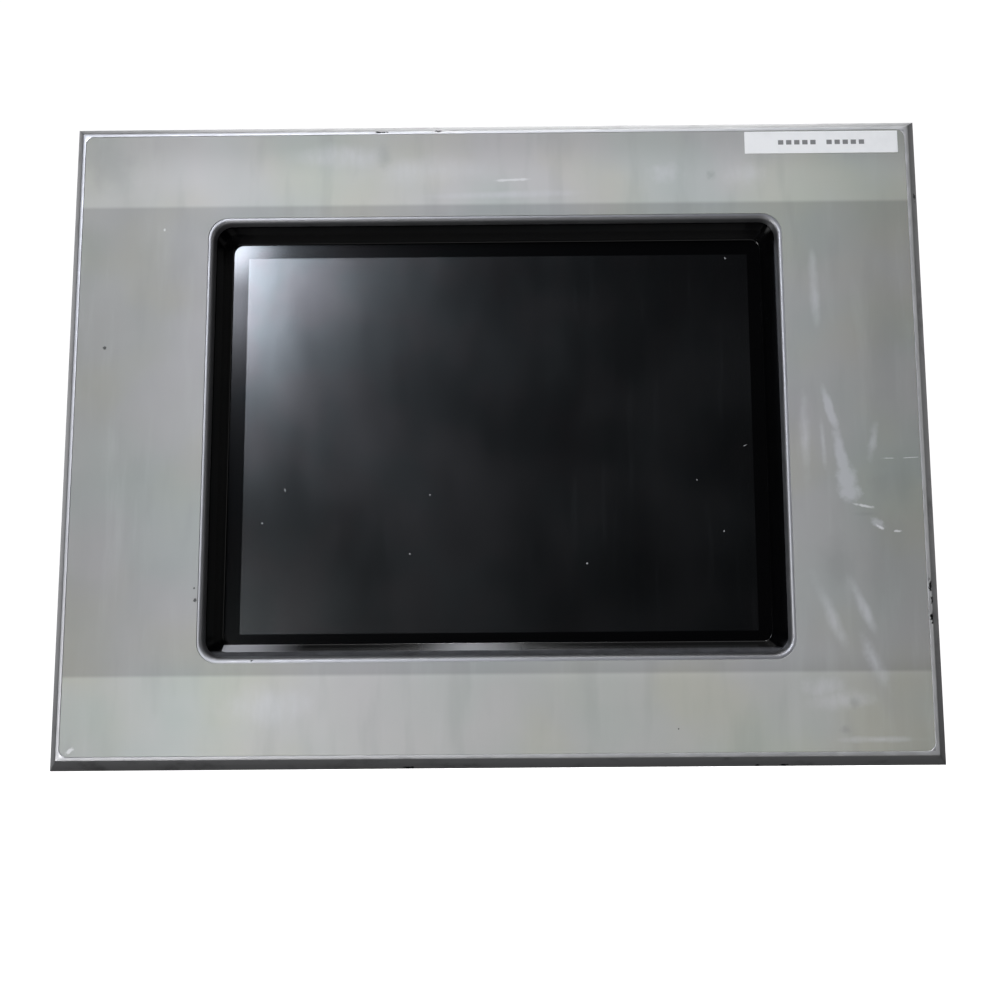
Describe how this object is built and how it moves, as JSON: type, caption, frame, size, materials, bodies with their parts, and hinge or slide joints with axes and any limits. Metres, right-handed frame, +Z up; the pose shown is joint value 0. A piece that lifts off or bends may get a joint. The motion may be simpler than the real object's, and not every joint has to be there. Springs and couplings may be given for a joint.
{
  "type": "hmi touch panel",
  "caption": "Panel-mounting operator terminal: aluminium front with a recessed touch screen, vented rear housing with sockets, a memory card and screw clamps.",
  "frame": {"origin": "centre of the seal's rear face, the plane where the front of the cabinet's sheet lies", "axes": "+X to the right of the person at the screen, +Y into the cabinet, +Z up; the screen faces -Y"},
  "size_m": [0.2, 0.0786, 0.15],
  "materials": {
    "frame_aluminium": "satin, machined edges",
    "overlay": "fine matte screen-printed film",
    "label": "matte tape",
    "black_gloss": "polished moulding",
    "rubber_seal": "matte",
    "touch_surface": "glossy hard-coated film",
    "display_glass": "polished",
    "clear_acrylic": "clear",
    "pressed_steel": "pressed sheet",
    "white_plastic": "moulded",
    "lamp_glass": "phosphor-coated",
    "zinc_steel": "zinc plated",
    "black_screws": "black oxide",
    "circuit_board": "solder mask",
    "chip_black": "moulded epoxy",
    "heatsink_aluminium": "anodised",
    "cell_steel": "polished",
    "dark_plastic": "moulded",
    "flex_film": "polyimide film",
    "port_metal": "tin plated",
    "nickel_brass": "nickel plated",
    "terminal_green": "moulded",
    "button_orange": "moulded",
    "card_plastic": "moulded",
    "slider_white": "moulded",
    "housing_grey": "fine-texture powder coat",
    "plate_silver": "metallised film, blank",
    "clamp_zinc": "zinc plated casting",
    "clamp_steel": "zinc plated",
    "pad_plastic": "moulded"
  },
  "bodies": {
    "terminal": {"asset_label": "label", "backlight_lamp": "lamp_glass", "board_screws": "zinc_steel", "board_spacers": "zinc_steel", "bracket_screws": "zinc_steel", "card_slot": "dark_plastic", "cell_holder": "dark_plastic", "clamp_brackets": "clamp_zinc", "coin_cell": "cell_steel", "cover_posts": "zinc_steel", "cover_screws": "black_screws", "display_bezel": "black_gloss", "display_bracket": "pressed_steel", "display_ribbon": "flex_film", "dust_gasket": "rubber_seal", "earth_stud": "nickel_brass", "front_frame": "frame_aluminium", "inverter_board": "circuit_board", "lan_port": "port_metal", "lcd_frame": "pressed_steel", "lcd_glass": "display_glass", "lcd_tray": "white_plastic", "light_guide": "clear_acrylic", "main_board": "circuit_board", "memory_chips": "chip_black", "mode_switch": "dark_plastic", "option_plate": "housing_grey", "overlay_film": "overlay", "panel_seal": "rubber_seal", "port_jack_screws": "nickel_brass", "power_capacitors": "dark_plastic", "power_header": "terminal_green", "processor": "chip_black", "processor_heatsink": "heatsink_aluminium", "rating_plate": "plate_silver", "rear_cover": "housing_grey", "serial_port_25": "port_metal", "serial_port_9": "port_metal", "touch_film": "touch_surface", "touch_gasket": "rubber_seal", "touch_glass": "display_glass", "touch_tail": "flex_film", "usb_host_port": "port_metal"},
    "clamp_pad_1": {"clamp_pad_1": "pad_plastic"},
    "clamp_pad_2": {"clamp_pad_2": "pad_plastic"},
    "clamp_pad_3": {"clamp_pad_3": "pad_plastic"},
    "clamp_pad_4": {"clamp_pad_4": "pad_plastic"},
    "clamp_screw_1": {"clamp_screw_1": "clamp_steel"},
    "clamp_screw_2": {"clamp_screw_2": "clamp_steel"},
    "clamp_screw_3": {"clamp_screw_3": "clamp_steel"},
    "clamp_screw_4": {"clamp_screw_4": "clamp_steel"},
    "power_plug": {"power_plug": "terminal_green"},
    "memory_card": {"memory_card": "card_plastic"},
    "release_button_1": {"release_button_1": "button_orange"},
    "release_button_2": {"release_button_2": "button_orange"},
    "release_button_3": {"release_button_3": "button_orange"},
    "mode_slider_1": {"mode_slider_1": "slider_white"},
    "mode_slider_2": {"mode_slider_2": "slider_white"},
    "mode_slider_3": {"mode_slider_3": "slider_white"},
    "mode_slider_4": {"mode_slider_4": "slider_white"}
  },
  "joints": [
    {"name": "clamp_slide_1", "type": "slide", "parent": "terminal", "child": "clamp_pad_1", "axis": [0, -1, 0], "range_m": [0, 0.0055]},
    {"name": "clamp_turn_1", "type": "hinge", "parent": "clamp_pad_1", "child": "clamp_screw_1", "pos_m": [-0.078, 0, 0.0696], "axis": [0, -1, 0], "range_deg": [0, 2830]},
    {"name": "clamp_slide_2", "type": "slide", "parent": "terminal", "child": "clamp_pad_2", "axis": [0, -1, 0], "range_m": [0, 0.0055]},
    {"name": "clamp_turn_2", "type": "hinge", "parent": "clamp_pad_2", "child": "clamp_screw_2", "pos_m": [0.078, 0, 0.0696], "axis": [0, -1, 0], "range_deg": [0, 2830]},
    {"name": "clamp_slide_3", "type": "slide", "parent": "terminal", "child": "clamp_pad_3", "axis": [0, -1, 0], "range_m": [0, 0.0055]},
    {"name": "clamp_turn_3", "type": "hinge", "parent": "clamp_pad_3", "child": "clamp_screw_3", "pos_m": [-0.078, 0, -0.0696], "axis": [0, -1, 0], "range_deg": [0, 2830]},
    {"name": "clamp_slide_4", "type": "slide", "parent": "terminal", "child": "clamp_pad_4", "axis": [0, -1, 0], "range_m": [0, 0.0055]},
    {"name": "clamp_turn_4", "type": "hinge", "parent": "clamp_pad_4", "child": "clamp_screw_4", "pos_m": [0.078, 0, -0.0696], "axis": [0, -1, 0], "range_deg": [0, 2830]},
    {"name": "plug_slide", "type": "slide", "parent": "terminal", "child": "power_plug", "axis": [0, 0, -1], "range_m": [0, 0.014]},
    {"name": "release_press_1", "type": "slide", "parent": "power_plug", "child": "release_button_1", "axis": [0, 0, 1], "range_m": [0, 0.001], "stiffness_N_per_m": 800, "springref_m": -0.001},
    {"name": "release_press_2", "type": "slide", "parent": "power_plug", "child": "release_button_2", "axis": [0, 0, 1], "range_m": [0, 0.001], "stiffness_N_per_m": 800, "springref_m": -0.001},
    {"name": "release_press_3", "type": "slide", "parent": "power_plug", "child": "release_button_3", "axis": [0, 0, 1], "range_m": [0, 0.001], "stiffness_N_per_m": 800, "springref_m": -0.001},
    {"name": "card_slide", "type": "slide", "parent": "terminal", "child": "memory_card", "axis": [1, 0, 0], "range_m": [0, 0.03]},
    {"name": "mode_slide_1", "type": "slide", "parent": "terminal", "child": "mode_slider_1", "axis": [0, 1, 0], "range_m": [0, 0.0017]},
    {"name": "mode_slide_2", "type": "slide", "parent": "terminal", "child": "mode_slider_2", "axis": [0, 1, 0], "range_m": [0, 0.0017]},
    {"name": "mode_slide_3", "type": "slide", "parent": "terminal", "child": "mode_slider_3", "axis": [0, 1, 0], "range_m": [0, 0.0017]},
    {"name": "mode_slide_4", "type": "slide", "parent": "terminal", "child": "mode_slider_4", "axis": [0, 1, 0], "range_m": [0, 0.0017]}
  ],
  "couplings": [
    {"joint": "clamp_turn_1", "follows": "clamp_slide_1", "rad_per_m": 8976},
    {"joint": "clamp_turn_2", "follows": "clamp_slide_2", "rad_per_m": 8976},
    {"joint": "clamp_turn_3", "follows": "clamp_slide_3", "rad_per_m": 8976},
    {"joint": "clamp_turn_4", "follows": "clamp_slide_4", "rad_per_m": 8976}
  ]
}
